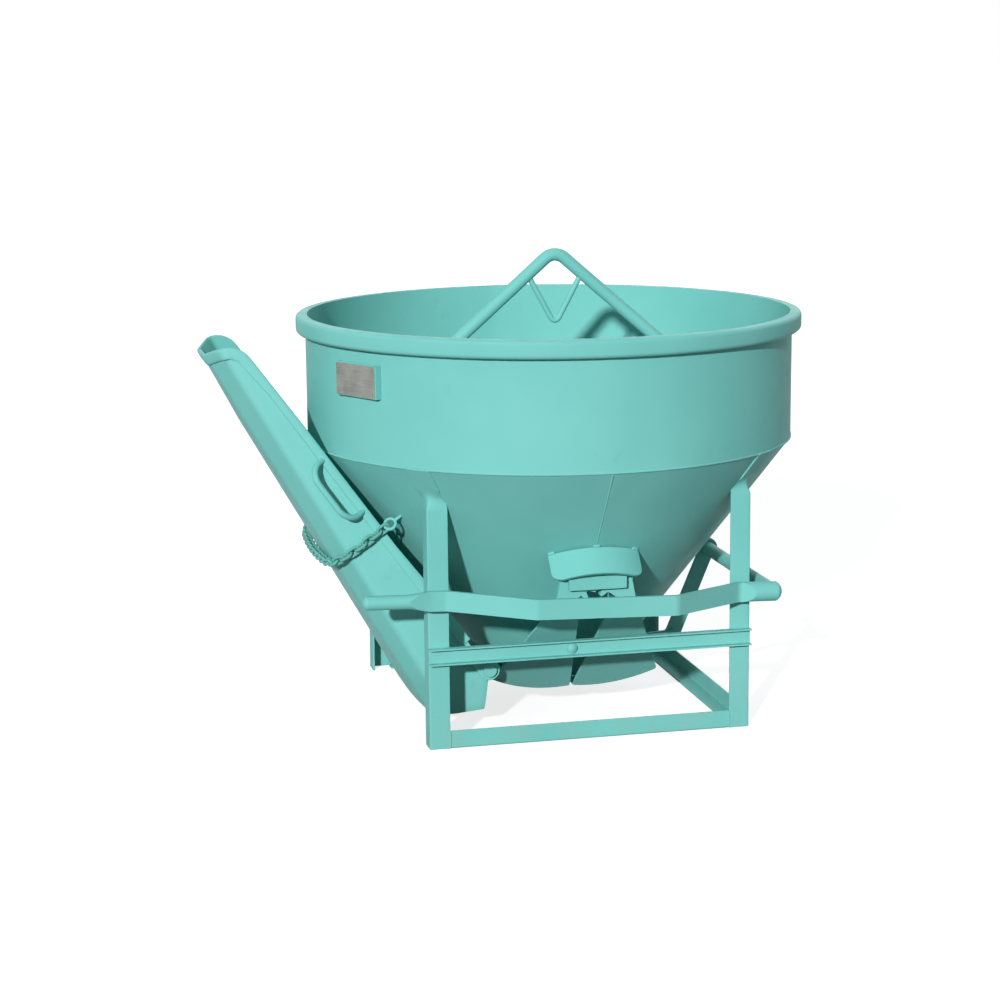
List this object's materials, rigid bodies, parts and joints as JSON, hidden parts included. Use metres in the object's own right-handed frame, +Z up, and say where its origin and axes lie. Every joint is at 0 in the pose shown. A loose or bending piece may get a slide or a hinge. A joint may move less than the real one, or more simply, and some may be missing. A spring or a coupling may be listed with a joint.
{
  "type": "concrete bucket",
  "caption": "Crane-lifted conical concrete bucket on an angle-iron stand, with a lever-worked geared clamshell gate and a swing-down side chute held by a chain.",
  "frame": {"origin": "on the ground under the hopper's vertical axis, in the middle of the four legs", "axes": "+Z up along the hopper's axis, -Y towards the pictured front, +X to the right, with the chute at -X"},
  "size_m": [1.1927, 1, 0.9109],
  "materials": {
    "teal_paint": "satin sprayed enamel",
    "chain_paint": "thin worn enamel over steel",
    "bare_steel": "machined, zinc plated",
    "plate_metal": "matte anodised"
  },
  "bodies": {
    "bucket": {"hopper_cylinder": "teal_paint", "hopper_cone": "teal_paint", "rim_hoop": "teal_paint", "lifting_bail": "teal_paint", "hook_keeper": "teal_paint", "leg_front_left": "teal_paint", "leg_front_right": "teal_paint", "leg_rear_left": "teal_paint", "leg_rear_right": "teal_paint", "base_rail_front": "teal_paint", "base_rail_rear": "teal_paint", "base_rail_right": "teal_paint", "channel_front": "teal_paint", "channel_rear": "teal_paint", "channel_bolts": "teal_paint", "channel_nuts": "bare_steel", "pivot_bosses": "teal_paint", "pivot_pins": "bare_steel", "thrust_washers": "bare_steel", "pin_strap_front": "teal_paint", "pin_strap_rear": "teal_paint", "gear_hood_front": "teal_paint", "gear_hood_rear": "teal_paint", "chain_tails": "chain_paint", "chain_eyes": "teal_paint", "chute_hangers": "teal_paint", "chute_hinge_pins": "bare_steel", "plate_holder": "teal_paint", "data_plate": "plate_metal", "plate_rivets": "bare_steel"},
    "lever": {"lever_front_bar": "teal_paint", "lever_rear_bar": "teal_paint", "lever_cross_tube": "teal_paint", "lever_pivot_pins": "bare_steel", "lever_pin_collars": "bare_steel"},
    "link": {"gate_link": "teal_paint"},
    "right_gate": {"gate_right_shell": "teal_paint", "gate_right_cheek_front": "teal_paint", "gate_right_cheek_rear": "teal_paint", "gear_right_front": "teal_paint", "gear_right_rear": "teal_paint", "link_lugs": "teal_paint", "link_pin": "bare_steel"},
    "left_gate": {"gate_left_shell": "teal_paint", "gate_left_cheek_front": "teal_paint", "gate_left_cheek_rear": "teal_paint", "gear_left_front": "teal_paint", "gear_left_rear": "teal_paint"},
    "chute": {"chute_trough": "teal_paint", "chute_edge_strips": "teal_paint", "chute_tip_band": "teal_paint", "chute_hinge_ears": "teal_paint", "chute_handle": "teal_paint", "chute_chain": "chain_paint"}
  },
  "joints": [
    {"name": "lever_hinge", "type": "hinge", "parent": "bucket", "child": "lever", "pos_m": [-0.296, 0, 0.293], "axis": [0, -1, 0], "range_deg": [0, 6.5]},
    {"name": "link_hinge", "type": "hinge", "parent": "lever", "child": "link", "pos_m": [0.35568, 0, 0.27252], "axis": [0, -1, 0], "range_deg": [0, 8.2]},
    {"name": "right_gate_hinge", "type": "hinge", "parent": "bucket", "child": "right_gate", "pos_m": [0.04, 0, 0.32], "axis": [0, -1, 0], "range_deg": [0, 13.2]},
    {"name": "left_gate_hinge", "type": "hinge", "parent": "bucket", "child": "left_gate", "pos_m": [-0.04, 0, 0.32], "axis": [0, 1, 0], "range_deg": [0, 13.2]},
    {"name": "chute_hinge", "type": "hinge", "parent": "bucket", "child": "chute", "pos_m": [-0.183, 0, 0.129], "axis": [0, -1, 0], "range_deg": [0, 58], "deforming": ["chute_chain", "chain_tails"]}
  ],
  "couplings": [
    {"joint": "right_gate_hinge", "follows": "lever_hinge", "ratio": 2.016},
    {"joint": "left_gate_hinge", "follows": "lever_hinge", "ratio": 2.016},
    {"joint": "link_hinge", "follows": "lever_hinge", "ratio": 1.25}
  ]
}
